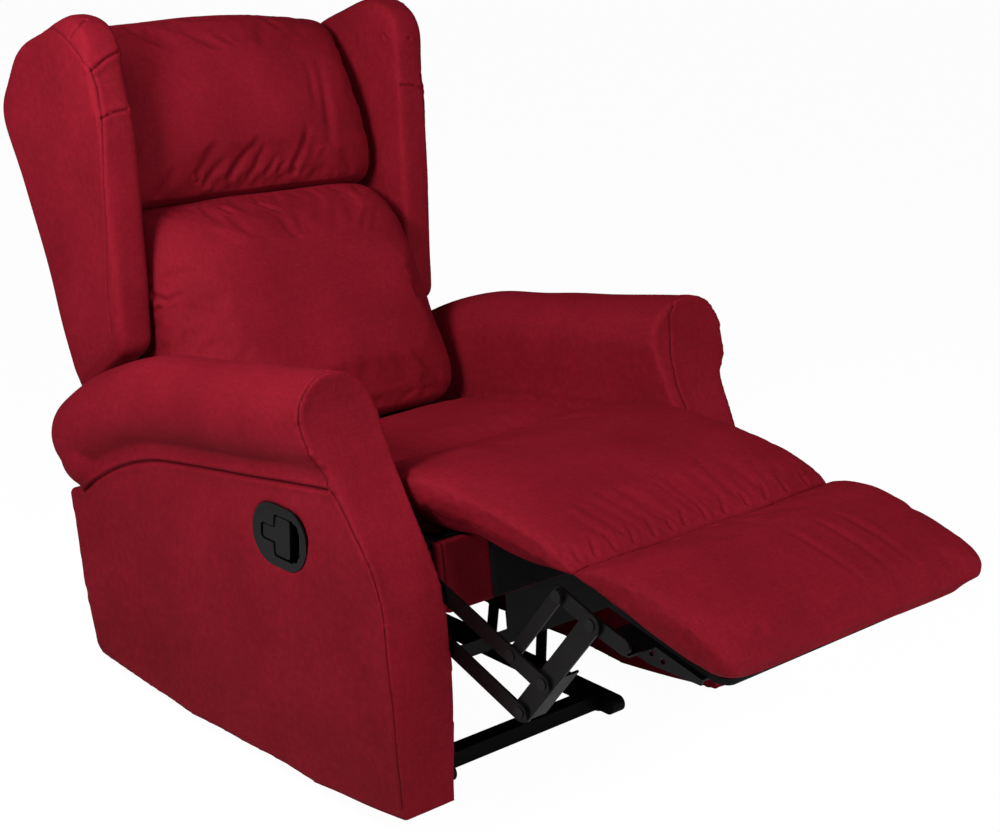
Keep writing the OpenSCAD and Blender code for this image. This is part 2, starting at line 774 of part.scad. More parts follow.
module back_bracket() {
  tail = turned(tie_at - back_at, recline);
  across(x_c, x_c + link_t) difference() {
    union() {
      bar([0, 0], [frame_u + frame_d / 2, 170], 14);
      bar([0, 0], tail, 13);
    }
    hole([0, 0], pivot_r + fit);
    hole(tail, pivot_r + 1);
    for (v = [60, 150]) hole([frame_u + frame_d / 2 * v / 160, v], 3);
  }
}
module back_bracket_left() { color("#17181a") in_back() side(1) back_bracket(); }
module back_bracket_right() { color("#17181a") in_back() side(-1) back_bracket(); }

// Upholstered rear panel with a rounded cap over the top of the frame
module back_shell() {
  low = -75;
  neck = 250;
  cap = shell_top.y + shell_t;
  color("#6d101c") in_back() {
    across(-back_x, back_x) {
      translate([shell_top.x, neck]) square([shell_t, shell_top.y - neck]);
      intersection() {
        translate(shell_top) circle(shell_t);
        translate(shell_top) square(2 * shell_t);
      }
      translate([frame_u, frame_top]) square([shell_top.x - frame_u, cap - frame_top]);
    }
    across(11 - back_x, back_x - 11) translate([shell_top.x, low]) square([shell_t, neck - low]);
  }
}

module wing() {
  front = back_rear - wing_d;
  outline = rounded([[back_rear, wing_foot - 22, 12], [back_rear, back_h - 48, 40], [26, back_h + 14, 90],
    [front + 2, back_h - 2, 62], [front + 10, 590, 160], [-44, wing_foot + 9, 26]], 5);
  mid = [back_rear - wing_d / 2, (back_h + wing_foot) / 2];
  translate([back_x + soft_gap + wing_t / 2, 0, 0]) soft(outline, mid, wing_t, panel_rows);
}
module wing_left() { color("#7a1220") in_back() side(1) wing(); }
module wing_right() { color("#7a1220") in_back() side(-1) wing(); }

module head_cushion() {
  u1 = frame_u - soft_gap;
  u0 = u1 - head_t;
  outline = rounded([[u1, head_seam + seam_gap, 12], [u1, back_h - 4, 14], [u0 + 38, back_h, 40],
    [u0 + 4, head_seam + 110, 120], [u0 + 28, head_seam + seam_gap, 30]]);
  mid = [u1 - head_t * 0.4, (head_seam + back_h) / 2];
  color("#7a1220") in_back() soft(outline, mid, 2 * back_x - 2, cushion_rows);
}
module lumbar_cushion() {
  u1 = frame_u - soft_gap;
  u0 = u1 - lumbar_t;
  foot = 100;
  outline = rounded([[u1, foot, 14], [u1, head_seam - seam_gap, 12], [u0 + 42, head_seam - seam_gap, 40],
    [u0, head_seam - 150, 120], [u0 + 2, foot + 18, 34]]);
  mid = [u1 - lumbar_t * 0.4, (head_seam + foot) / 2];
  color("#7a1220") in_back() soft(outline, mid, pad_w - 8, cushion_rows);
}

base_rail_left();
base_rail_right();
base_front_bar();
base_rear_bar();
rail_plugs();
floor_glides();
base_upright_left();
base_upright_right();
stop_bumpers();
side_plate_left();
side_plate_right();
pivot_pins();
rear_cross_tube();
front_cross_angle();
seat_frame();
seat_springs();
arm_board_left();
arm_board_right();
arm_panel_left();
arm_panel_right();
arm_pad_left();
arm_pad_right();
arm_facing_left();
arm_facing_right();
handle_bezel();
handle_paddle();
front_apron();
rear_panel();
seat_cushion();
chaise_pad_rear();
crease_cord();
chaise_pad_front();
footrest_cushion();
footrest_board();
footrest_bracket_left();
footrest_bracket_right();
drive_link_left();
drive_link_right();
drive_tube();
knee_rivets();
crank_link_left();
crank_link_right();
crank_rivets();
cross_link_left();
cross_link_right();
cross_rivets();
guide_link_left();
guide_link_right();
guide_rivets();
tie_link_left();
tie_link_right();
tie_rivets();
back_frame();
back_bracket_left();
back_bracket_right();
back_shell();
wing_left();
wing_right();
head_cushion();
lumbar_cushion();
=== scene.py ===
import math

import bmesh
import bpy
import numpy as np
from mathutils import Matrix, Vector, noise
from mathutils.bvhtree import BVHTree
from mathutils.kdtree import KDTree


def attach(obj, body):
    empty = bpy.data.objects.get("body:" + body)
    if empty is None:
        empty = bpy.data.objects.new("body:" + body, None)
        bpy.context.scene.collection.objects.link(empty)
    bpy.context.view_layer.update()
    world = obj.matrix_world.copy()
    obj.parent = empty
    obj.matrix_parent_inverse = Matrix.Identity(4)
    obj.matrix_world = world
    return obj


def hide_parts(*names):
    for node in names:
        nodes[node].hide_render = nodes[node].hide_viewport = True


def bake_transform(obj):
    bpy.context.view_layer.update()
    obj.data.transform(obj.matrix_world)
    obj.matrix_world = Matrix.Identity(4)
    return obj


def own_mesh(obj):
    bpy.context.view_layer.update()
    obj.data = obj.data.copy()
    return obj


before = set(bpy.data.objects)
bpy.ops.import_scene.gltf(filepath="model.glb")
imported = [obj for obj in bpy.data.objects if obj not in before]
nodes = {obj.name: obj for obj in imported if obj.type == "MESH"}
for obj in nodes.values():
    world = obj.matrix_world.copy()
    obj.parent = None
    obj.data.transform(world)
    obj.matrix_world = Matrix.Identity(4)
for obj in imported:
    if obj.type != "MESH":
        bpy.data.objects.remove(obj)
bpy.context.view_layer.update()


# Camera: low and to the sitter's right of the open chair, as in the photograph.
# The chair's body is pitched back on its base, so most shapes are drawn in the body's own
# frame, and those of the back and the footrest in theirs.
MID_Y = 0.309344
BODY = Matrix.Translation((0, -MID_Y, 0.073)) @ Matrix.Rotation(math.radians(-9.4), 4, "X")
BACK = BODY @ Matrix.Translation((0, 0.59, 0.285)) @ Matrix.Rotation(math.radians(-15.8), 4, "X")
REST = BODY @ Matrix.Translation((0, -0.2363, 0.3261)) @ Matrix.Rotation(math.radians(201.5), 4, "X")

azimuth, elevation, roll = math.radians(-43.114), math.radians(17.349), math.radians(1.437)
distance, sensor_width, focal_pixels, picture_pixels = 2.62982, 36, 1857.78, 1000
target = Vector((0, 0.21148 - MID_Y, 0.48722))
back_off = Vector((math.sin(azimuth) * math.cos(elevation), -math.cos(azimuth) * math.cos(elevation),
                   math.sin(elevation)))
lens = bpy.data.cameras.new("camera")
lens.sensor_width = sensor_width
lens.lens = sensor_width * focal_pixels / picture_pixels
camera = bpy.data.objects.new("camera", lens)
bpy.context.collection.objects.link(camera)
camera.matrix_world = (Matrix.Translation(target + back_off * distance)
                       @ back_off.to_track_quat("Z", "Y").to_matrix().to_4x4()
                       @ Matrix.Rotation(roll, 4, "Z"))
bpy.context.scene.camera = camera


# Floor and light: a white seamless floor, two soft lamps up on the left and one in front.
# The floor shows white to the camera and still keeps the chair's shadow.
def linear(code):
    """An sRGB hex colour as linear RGBA."""
    parts = [int(code[i:i + 2], 16) / 255 for i in (0, 2, 4)]
    return tuple(p / 12.92 if p <= 0.04045 else ((p + 0.055) / 1.055) ** 2.4 for p in parts) + (1.0,)


def add_node(tree, kind, settings=(), **sockets):
    """Adds a shader node. Sockets, by name or as i and their number, take a value or an output."""
    made = tree.nodes.new(kind)
    for name, value in dict(settings).items():
        setattr(made, name, value)
    for name, value in sockets.items():
        numbered = name[0] == "i" and name[1:].isdigit()
        socket = made.inputs[int(name[1:]) if numbered else name.replace("_", " ")]
        if isinstance(value, bpy.types.NodeSocket):
            tree.links.new(value, socket)
        else:
            socket.default_value = value
    return made


def new_material(name):
    material = bpy.data.materials.new(name)
    material.use_nodes = True
    material.node_tree.nodes.clear()
    return material, material.node_tree


WHITE_SHARE = 0.93
floor_finish, tree = new_material("matte_white_floor")
seen = add_node(tree, "ShaderNodeLightPath").outputs["Is Camera Ray"]
share = add_node(tree, "ShaderNodeMath", {"operation": "MULTIPLY"}, i0=seen, i1=WHITE_SHARE)
matt = add_node(tree, "ShaderNodeBsdfDiffuse", Color=linear("e8e8e8"))
white = add_node(tree, "ShaderNodeEmission", Color=linear("ffffff"), Strength=1.05)
mixed = add_node(tree, "ShaderNodeMixShader", Fac=share.outputs[0], i1=matt.outputs[0], i2=white.outputs[0])
add_node(tree, "ShaderNodeOutputMaterial", Surface=mixed.outputs[0])
floor_mesh = bmesh.new()
bmesh.ops.create_grid(floor_mesh, x_segments=1, y_segments=1, size=14)
floor_data = bpy.data.meshes.new("floor")
floor_mesh.to_mesh(floor_data)
floor_mesh.free()
floor = bpy.data.objects.new("floor", floor_data)
bpy.context.collection.objects.link(floor)
floor_data.materials.append(floor_finish)

world = bpy.data.worlds.new("studio")
bpy.context.scene.world = world
world.use_nodes = True
tree = world.node_tree
tree.nodes.clear()
seen = add_node(tree, "ShaderNodeLightPath").outputs["Is Camera Ray"]
wall = add_node(tree, "ShaderNodeBackground", Color=linear("ffffff"), Strength=1.0)
fill = add_node(tree, "ShaderNodeBackground", Color=linear("ffffff"), Strength=0.02)
mixed = add_node(tree, "ShaderNodeMixShader", Fac=seen, i1=fill.outputs[0], i2=wall.outputs[0])
add_node(tree, "ShaderNodeOutputWorld", Surface=mixed.outputs[0])


def soft_lamp(name, place, aim, size, power):
    """A square lamp of that size in metres and power in watts, turned to its aim."""
    data = bpy.data.lights.new(name, "AREA")
    data.size = size
    data.energy = power
    lamp = bpy.data.objects.new(name, data)
    bpy.context.collection.objects.link(lamp)
    lamp.location = place
    lamp.rotation_euler = (Vector(place) - Vector(aim)).to_track_quat("Z", "Y").to_euler()


soft_lamp("near_key", place=(-1.1, 0.3, 1.7), aim=(-0.1, 0.1, 0.6), size=0.7, power=9)
soft_lamp("left", place=(-1.4, -0.1, 1.35), aim=(-0.3, 0.3, 1.3), size=0.4, power=20.5)
soft_lamp("front", place=(-0.1, -2.6, 1.8), aim=(0, 0, 0.5), size=1.4, power=51)
bpy.context.scene.view_settings.view_transform = "Standard"


# Upholstery cloth: a plain-woven polyester, dyed deep crimson, slightly mottled in the yarn.
# It is sewn in panels and pulled over foam; the seams are plain, and painted shade darkens their grooves
# into thin dark lines.
def woven_cloth(name, dark, mid, light, sheen):
    """Plain weave: yarns along and across mottle the dye and lift the surface; painted shade darkens it
    along the seams.
    """
    material, tree = new_material(name)
    coords = add_node(tree, "ShaderNodeTexCoord").outputs["Object"]

    def yarns(stretch, size, detail):
        laid = add_node(tree, "ShaderNodeMapping", Vector=coords, Scale=stretch)
        grain = add_node(tree, "ShaderNodeTexNoise", Vector=laid.outputs[0], Scale=size, Detail=detail,
                         Roughness=0.6)
        return grain.outputs["Fac"]

    def blended(share, a, b):
        return add_node(tree, "ShaderNodeMix", {"data_type": "FLOAT"}, Factor=share, i2=a, i3=b).outputs[0]

    threads = blended(0.5, yarns((0.16, 1, 1), 560, 2), yarns((1, 0.16, 0.16), 560, 2))
    slubs = blended(0.5, yarns((0.05, 1, 1), 190, 1), yarns((1, 0.05, 0.05), 190, 1))
    tone = blended(0.35, blended(0.18, threads, slubs), yarns((1, 1, 1), 6, 3))
    ramp = add_node(tree, "ShaderNodeValToRGB", Fac=tone)
    stops = ramp.color_ramp.elements
    stops[0].position, stops[0].color = 0.38, linear(dark)
    stops[1].position, stops[1].color = 0.62, linear(light)
    stops.new(0.5).color = linear(mid)
    # Painted shade: where the sewn attribute is set, the colour is mixed towards near-black crimson,
    # standing in for the shadow in the seam grooves.
    sewn = add_node(tree, "ShaderNodeAttribute", {"attribute_name": "sewn"}).outputs["Fac"]
    colour = add_node(tree, "ShaderNodeMix", {"data_type": "RGBA"}, Factor=sewn, i6=ramp.outputs[0],
                      i7=linear("1a0306"))
    weave = add_node(tree, "ShaderNodeBump", Strength=0.5, Distance=0.0005, Height=threads)
    crease = add_node(tree, "ShaderNodeBump", Strength=0.35, Distance=0.002, Height=yarns((1, 1, 1), 45, 3),
                      Normal=weave.outputs[0])
    cloth = add_node(tree, "ShaderNodeBsdfPrincipled", Base_Color=colour.outputs[2], Roughness=0.8,
                     Normal=crease.outputs[0])
    cloth.inputs["Specular IOR Level"].default_value = 0.06
    cloth.inputs["Sheen Weight"].default_value = sheen
    cloth.inputs["Sheen Roughness"].default_value = 0.4
    cloth.inputs["Sheen Tint"].default_value = linear("b01a34")
    add_node(tree, "ShaderNodeOutputMaterial", Surface=cloth.outputs[0])
    return material


crimson = woven_cloth("crimson_plain_weave", "71101d", "7d1321", "8a1727", 0.12)


def show(name, mesh, material):
    made = bpy.data.objects.new(name, mesh)
    bpy.context.collection.objects.link(made)
    mesh.materials.clear()
    mesh.materials.append(material)
    return made


def solid_copy(*names):
    """The closed meshes of some CAD nodes, merged, as a bmesh."""
    form = bmesh.new()
    for name in names:
        form.from_mesh(nodes[name].data)
    bmesh.ops.remove_doubles(form, verts=form.verts, dist=1e-5)
    return form


def voxelled(form, size, matrix):
    """The form remeshed into even squares of that size, laid out along the axes of a frame.
    Its faces and sharp edges are kept true."""
    sharp_angle, spacing, snap = 0.6, 0.001, 0.7 * size
    skin = BVHTree.FromBMesh(form)
    steps = []
    for edge in form.edges:
        if edge.calc_face_angle(0) > sharp_angle:
            a, b = edge.verts[0].co, edge.verts[1].co
            count = max(1, round((b - a).length / spacing))
            steps += [a.lerp(b, n / count) for n in range(count + 1)]
    edges = KDTree(len(steps))
    for n, step in enumerate(steps):
        edges.insert(step, n)
    edges.balance()
    bmesh.ops.transform(form, matrix=matrix.inverted(), verts=form.verts)
    data = bpy.data.meshes.new("form")
    form.to_mesh(data)
    form.free()
    carrier = bpy.data.objects.new("form", data)
    bpy.context.collection.objects.link(carrier)
    grid = carrier.modifiers.new("grid", "REMESH")
    grid.mode = "VOXEL"
    grid.voxel_size = size
    bpy.context.view_layer.update()
    even = bpy.data.meshes.new_from_object(carrier.evaluated_get(bpy.context.evaluated_depsgraph_get()))
    bpy.data.objects.remove(carrier)
    made = bmesh.new()
    made.from_mesh(even)
    bpy.data.meshes.remove(even)
    bmesh.ops.transform(made, matrix=matrix, verts=made.verts)
    crisp = made.verts.layers.int.new("crisp")
    for vert in made.verts:
        point, _, gap = edges.find(vert.co)
        vert[crisp] = point is not None and gap < snap
        vert.co = point if vert[crisp] else skin.find_nearest(vert.co)[0]
    return made


def clamped(share):
    """The share kept between none and all."""
    return min(1.0, max(0.0, share))


def ease(form, times, verts=None):
    """Draws verts, or all of them, towards the middle of their neighbours."""
    for _ in range(times):
        bmesh.ops.smooth_vert(form, verts=verts or form.verts, factor=0.5, use_axis_x=True, use_axis_y=True,
                              use_axis_z=True)


def ripple(form, size, height, seed):
    """Slow unevenness of padding under cloth."""
    form.normal_update()
    for vert in form.verts:
        place = vert.co / size + Vector((seed, seed * 1.7, seed * 0.3))
        vert.co += vert.normal * noise.noise(place) * height


def laid_line(form, points, step=0.006):
    """The points joined by a line that lies on the form's skin."""
    skin = BVHTree.FromBMesh(form)
    line = []
    for a, b in zip(points, points[1:]):
        count = max(1, int((Vector(b) - Vector(a)).length / step))
        line += [Vector(a).lerp(Vector(b), i / count) for i in range(count)]
    line.append(Vector(points[-1]))
    return [skin.find_nearest(point)[0] for point in line]


def off_line(verts, line):
    """Distance of each vert from a line, and how far along it the nearest place is."""
    every = np.array([v.co for v in verts])
    ends = np.array(line)
    near_box = ((every > ends.min(0) - 0.03) & (every < ends.max(0) + 0.03)).all(1)
    places = every[near_box]
    best = np.full(len(places), 1e9)
    along = np.zeros(len(places))
    run = 0.0
    for a, b in zip(line, line[1:]):
        a, b = np.array(a), np.array(b)
        step = b - a
        length = max(float(np.linalg.norm(step)), 1e-9)
        share = np.clip((places - a) @ step / length ** 2, 0, 1)
        away = np.linalg.norm(places - a - share[:, None] * step, axis=1)
        near = away < best
        along[near] = run + share[near] * length
        best = np.minimum(best, away)
        run += length
    away, run = np.full(len(every), 1e9), np.zeros(len(every))
    away[near_box], run[near_box] = best, along
    return away, run


def cut_finer(form, line, reach):
    """Halves the edges of the skin that lie within reach of a line."""
    away, _ = off_line(list(form.verts), line)
    near = {v for v, d in zip(form.verts, away) if d < reach}
    edges = [e for e in form.edges if e.verts[0] in near and e.verts[1] in near]
    bmesh.ops.subdivide_edges(form, edges=edges, cuts=1, use_grid_fill=True)


def seam(form, points, depth=0.0016, width=0.0013, puff=0.0007, dark=0.8, matrix=BODY):
    """A plain seam along the points: the skin is cut finer there, drawn in, and puffed on both sides. dark
    sets how strongly painted shade darkens the groove.
    """
    puff_off, puff_width, far = 0.006, 0.004, 0.02
    line = laid_line(form, [matrix @ Vector(p) for p in points])
    for reach in (0.012, 0.006):
        cut_finer(form, line, reach)
    form.normal_update()
    sewn = form.verts.layers.float.get("sewn") or form.verts.layers.float.new("sewn")
    verts = list(form.verts)
    away, _ = off_line(verts, line)
    for vert, gap in zip(verts, away):
        if gap < far:
            drawn = math.exp(-(gap / width) ** 2)
            puffed = math.exp(-((gap - puff_off) / puff_width) ** 2)
            vert.co += vert.normal * (puff * puffed - depth * drawn)
            # Painted shade: the sewn attribute darkens the cloth colour most in the middle of the groove.
            vert[sewn] = max(vert[sewn], dark * math.exp(-(gap / (0.8 * width)) ** 2))


def fold(form, points, depth, width, matrix=BODY, ridge=0.0, fine=True, sewn=False):
    """A soft fold: a trough with a ridge beside it. It fades at both ends.
    A sewn one runs out of the seam at its first point."""
    line = laid_line(form, [matrix @ Vector(p) for p in points])
    if fine:
        cut_finer(form, line, 2.5 * width)
    form.normal_update()
    verts = list(form.verts)
    away, along = off_line(verts, line)
    length = sum((b - a).length for a, b in zip(line, line[1:]))
    for vert, gap, run in zip(verts, away, along):
        if gap < 5 * width:
            share = clamped(run / length)
            fade = (1 - share) ** 0.7 if sewn else math.sin(math.pi * share ** 0.8)
            beside = ridge * math.exp(-((gap - 2 * width) / width) ** 2)
            vert.co += vert.normal * fade * (beside - depth * math.exp(-(gap / width) ** 2))


def finished(form, name, body, *sources, material=crimson, kind="upholstery", under=None):
    """The bmesh as a smooth piece that rides on a body and stands for its CAD nodes.
    Its faces that look the way of under are lined in black, up to its side edges."""
    lined_half, facing = 0.246, 0.6
    bmesh.ops.recalc_face_normals(form, faces=form.faces)
    for face in form.faces:
        face.smooth = True
        if under and face.normal.dot(under) > facing and abs(face.calc_center_median().x) < lined_half:
            face.material_index = 1
    data = bpy.data.meshes.new(name)
    form.to_mesh(data)
    form.free()
    piece = show(name, data, material)
    if under:
        data.materials.append(black_felt)
    if body:
        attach(piece, body)
    if sources:
        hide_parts(*sources)
    return piece


# Linings: black non-woven felt, stapled over the seat frame, the footrest board and the back
# frame, where their timber could be seen from below. The pads are lined in it underneath too.
def felt(name, code):
    """Short matted fibre in that colour, with near-black between."""
    material, tree = new_material(name)
    coords = add_node(tree, "ShaderNodeTexCoord").outputs["Object"]
    fibre = add_node(tree, "ShaderNodeTexNoise", Vector=coords, Scale=700, Detail=3,
                     Roughness=0.7).outputs["Fac"]
    ramp = add_node(tree, "ShaderNodeValToRGB", Fac=fibre)
    ramp.color_ramp.elements[0].color = linear("0b0b0c")
    ramp.color_ramp.elements[1].color = linear(code)
    bump = add_node(tree, "ShaderNodeBump", Strength=0.4, Distance=0.0005, Height=fibre)
    cloth = add_node(tree, "ShaderNodeBsdfPrincipled", Base_Color=ramp.outputs[0], Roughness=0.92,
                     Normal=bump.outputs[0])
    cloth.inputs["Specular IOR Level"].default_value = 0.2
    add_node(tree, "ShaderNodeOutputMaterial", Surface=cloth.outputs[0])
    return material


black_felt = felt("black_lining_felt", "1c1c1e")
LINED = ("seat_frame", "footrest_board", "back_frame")
for name in LINED:
    nodes[name].data.materials.clear()
    nodes[name].data.materials.append(black_felt)


# Arms: a padded side panel and a rolled top under one skin, so the inner face runs down to the seat
# without a seam. A narrow facing closes the front, and a crease under the roll's outer edge is
# sewn in. The cover is pulled over foam on a plywood board and stapled underneath.
IN_X, ARM_X = 0.2595, 0.3615
PANEL_TOP, CREASE_Z, CREASE_END = 0.42, 0.421, 0.705
ROLL_LIFT, PANEL_LIFT, SAG = 0.002, 0.004, 0.013


def arm_front(z):
    """How far back the arm's front lies at a height: it bellies forward, then sweeps back."""
    foot, belly, belly_z, sweep, sweep_h = 0.005, 0.022, 0.24, 0.107, 0.3
    if z <= belly_z:
        return foot - belly * (1 - ((z - belly_z) / belly_z) ** 2)
    step = clamped((z - belly_z) / sweep_h)
    return foot - belly + sweep * step * step * (3 - 2 * step)


def roll_top(y):
    """How far the roll has sunk, below nought, where it sweeps down towards the back."""
    level_to, sweep = 0.44, 0.5
    return 0.0 if y <= level_to else math.sqrt(max(0.0, sweep ** 2 - (y - level_to) ** 2)) - sweep


FACING_SEAM = [(0.344, 0.008, 0.002), (0.356, -0.008, 0.117), (0.361, -0.013, 0.213), (0.359, -0.013, 0.27),
               (0.357, 0.0, 0.31), (0.358, 0.007, 0.331), (0.362, 0.028, 0.364), (0.362, 0.046, 0.395),
               (0.362, 0.069, 0.426), (0.366, 0.077, 0.445), (0.377, 0.081, 0.47), (0.384, 0.082, 0.49),
               (0.385, 0.086, 0.509), (0.379, 0.09, 0.534), (0.358, 0.092, 0.555), (0.328, 0.096, 0.5645),
               (0.302, 0.093, 0.56), (0.29, 0.09, 0.545), (0.288, 0.088, 0.515), (0.281, 0.081, 0.487),
               (0.276, 0.067, 0.451), (0.277, 0.047, 0.41), (0.275, 0.028, 0.37), (0.272, 0.006, 0.32),
               (0.27, -0.008, 0.27), (0.27, -0.014, 0.2), (0.27, -0.01, 0.1)]


def far_puff(x, y, z):
    """How much further the left arm's stuffing pushes its front out."""
    outwards, forwards, fades_over, neck_z, neck_h = 0.026, 0.006, 0.26, 0.34, 0.12
    front = max(0.0, 1 - (y - arm_front(z)) / fades_over)
    high = 0.25 + 0.75 * clamped((z - neck_z) / neck_h)
    return Vector((outwards * clamped((x - IN_X) / 0.09), -forwards, 0)) * front * high


CUP_HALF, CUP_R = 0.016, 0.0425
HANDLE = BODY @ Matrix.Translation((-ARM_X, 0.188, 0.346)) @ Matrix.Rotation(math.radians(9), 4, "X")
for side in ("left", "right"):
    hand = 1 if side == "left" else -1
    form = solid_copy("arm_panel_" + side, "arm_pad_" + side, "arm_facing_" + side, "arm_board_" + side)
    # A lump of stuffing rounds off the roll's rear end.
    lump = bmesh.ops.create_uvsphere(form, u_segments=24, v_segments=16, radius=1)["verts"]
    place = Matrix.Translation((hand * 0.338, 0.688, 0.408)) @ Matrix.Diagonal((0.048, 0.052, 0.053, 1))
    bmesh.ops.transform(form, matrix=BODY @ place, verts=lump)
    form = voxelled(form, size=0.005, matrix=BODY)
    # The edges are eased less the lower they lie, and the neck under the roll's front most of all.
    to_body = BODY.inverted()
    crisp = form.verts.layers.int["crisp"]
    for step in range(4):
        ease(form, 1, verts=[v for v in form.verts if not v[crisp] or (to_body @ v.co).z > 0.1 * step])
    neck = [v for v in form.verts for p in [to_body @ v.co]
            if abs(p.x) > 0.32 and p.y < 0.15 and 0.34 < p.z < 0.51]
    ease(form, 14, verts=neck)
    # The padding swells the roll and the outer panel a little, most in the middle of each.
    form.normal_update()
    for vert in form.verts:
        spot = to_body @ vert.co
        x, y, z = abs(spot.x), spot.y, spot.z
        lift = ROLL_LIFT * clamped((z - 0.43 - roll_top(y)) / 0.04)
        if x > 0.34 and 0.0 < z < PANEL_TOP:
            lift += PANEL_LIFT * math.sin(math.pi * z / PANEL_TOP) * clamped(y / 0.2)
        vert.co += vert.normal * lift
        if hand > 0:
            vert.co += BODY.to_3x3() @ far_puff(x, y, z)
        # The lower front corner hangs a little where the cloth is stapled underneath.
        low = max(0.0, 1 - z / 0.25) * max(0.25, 1 - max(0.0, y) / 0.35)
        vert.co += BODY.to_3x3() @ Vector((0, 0, -SAG)) * (low if z < 0.25 else 0)
    ripple(form, size=0.12, height=0.0025, seed=3 + hand)
    if hand < 0:
        # The cover is cut away round the cup of the release handle.
        for vert in form.verts:
            spot = HANDLE.inverted() @ vert.co
            core = min(CUP_HALF, max(-CUP_HALF, spot.y))
            away = Vector((0, spot.y - core, spot.z))
            if -0.006 < spot.x < 0.037 and 0 < away.length < CUP_R:
                vert.co = HANDLE @ (Vector((spot.x, core, 0)) + away * (CUP_R / away.length))
    along = [arm_front(PANEL_TOP) + 0.02 + 0.02 * i for i in range(33)]
    crease = [(hand * (ARM_X + 0.003), y, CREASE_Z + roll_top(y)) for y in along if y < CREASE_END]
    seam(form, crease, depth=0.0035, width=0.0026, puff=0.002, dark=0.6)
    # The facing's seam runs up the outer side, over the top and down the inner side. On the left
    # arm it starts at the top.
    edge = []
    for n, (x, y, z) in enumerate(FACING_SEAM):
        shift = far_puff(x, y, z) if hand > 0 else Vector((IN_X - x if n > 16 else 0, 0, 0))
        edge.append(Vector((x, y, z)) + shift)
    edge = [(hand * p.x, p.y, p.z) for p in edge[14 if hand > 0 else 0:]]
    seam(form, edge, depth=0.0015, width=0.0012, puff=0.0009, dark=0.65)
    finished(form, "arm_cover_" + side, "seat_body", "arm_panel_" + side, "arm_pad_" + side,
             "arm_facing_" + side)


# Wings: a flat outer panel and a padded band along the front edge, joined by a seam on the outer
# corner. The band is eased round the top with three small pleats, and the cloth is pulled over
# foam and stapled behind.
WING_SEAM = [(0.308, -0.06, 0.775), (0.31, -0.09, 0.762), (0.31, -0.113, 0.745), (0.31, -0.126, 0.7325),
             (0.31, -0.138, 0.7165), (0.31, -0.153, 0.692), (0.303, -0.157, 0.6725), (0.3, -0.156, 0.6455),
             (0.302, -0.154, 0.62), (0.304, -0.153, 0.60), (0.308, -0.14, 0.5575), (0.31, -0.117, 0.504),
             (0.31, -0.085, 0.437), (0.31, -0.053, 0.369), (0.31, -0.03, 0.305)]
PLEATS = [[(0.288, -0.155, 0.747), (0.303, -0.155, 0.735), (0.31, -0.142, 0.728)],
          [(0.258, -0.16, 0.695), (0.28, -0.16, 0.686), (0.303, -0.157, 0.671)],
          [(0.26, -0.156, 0.6095), (0.283, -0.156, 0.607), (0.304, -0.153, 0.601)]]
for side in ("left", "right"):
    hand = 1 if side == "left" else -1
    form = voxelled(solid_copy("wing_" + side), size=0.005, matrix=BACK)
    ease(form, 5)
    form.normal_update()
    to_back = BACK.inverted()
    for vert in form.verts:
        spot = to_back @ vert.co
        front = min(1.0, max(0.0, -0.06 - spot.y) / 0.06)
        high = clamped((spot.z - 0.64) / 0.1)
        # The right wing is stuffed fuller along its band, and the left one at its upper corner.
        if hand < 0:
            swell, drop = 0.0025 * front, 0.006 * high
            corner = 0.011 * math.exp(-((spot.z - 0.725) / 0.05) ** 2)
        else:
            swell, drop = 0.003 * high - 0.003, 0.003 * high
            corner = 0.03 * math.exp(-((spot.z - 0.7) / 0.07) ** 2)
        rear = min(1.0, max(0.0, spot.y + 0.02) / 0.05)
        back = rear * (0.004 + 0.01 * math.exp(-((spot.z - 0.68) / 0.07) ** 2))
        vert.co += vert.normal * swell
        vert.co += BACK.to_3x3() @ Vector((0, back - corner * front, -drop))
    ripple(form, size=0.13, height=0.003, seed=9 + hand)
    seam(form, [(hand * x, u, v) for x, u, v in WING_SEAM], matrix=BACK, depth=0.0012, dark=0.5)
    for pleat in PLEATS:
        points = [(hand * x, u, v) for x, u, v in pleat]
        seam(form, points, matrix=BACK, depth=0.0022, width=0.0016, puff=0.0014, dark=0.35)
    finished(form, "wing_cover_" + side, "backrest", "wing_" + side)


# Back and rear covers: plain cloth over the rear of the back frame, rounded over its top edge,
# and over the panel that closes the space between the arms. Both are stapled along their edges.
form = voxelled(solid_copy("back_shell"), size=0.006, matrix=BACK)
ease(form, 8)
ripple(form, size=0.14, height=0.002, seed=12)
finished(form, "back_cover", "backrest", "back_shell")
form = voxelled(solid_copy("rear_panel"), size=0.005, matrix=BODY)
ease(form, 4)
finished(form, "rear_cover", "seat_body", "rear_panel")


# Cushions: foam with a wadding wrap in sewn covers. Each starts as rings through its sections,
# and its skin is then simulated as cloth under pressure, held where it is sewn or rests.
def laid_ring(form, points):
    """The edges of a ring through the points."""
    ring = bmesh.ops.create_circle(form, segments=len(points), radius=1)["verts"]
    for vert, point in zip(ring, points):
        vert.co = point
    return list({e for v in ring for e in v.link_edges})


def lofted(ring, stations, size, matrix):
    """A closed form through the rings at the stations, in even squares of that size."""
    form = bmesh.new()
    loops = [laid_ring(form, ring(place, inset)) for place, inset in stations]
    for a, b in zip(loops, loops[1:]):
        bmesh.ops.bridge_loops(form, edges=a + b)
    for end in (loops[0], loops[-1]):
        bmesh.ops.contextual_create(form, geom=end)
    bmesh.ops.recalc_face_normals(form, faces=form.faces)
    bmesh.ops.transform(form, matrix=matrix, verts=form.verts)
    return voxelled(form, size, matrix)


def table(rows, at):
    """Straight-line values between the rows of a table."""
    rows = sorted(rows)
    return np.interp(at, [r[0] for r in rows], [r[1] for r in rows])


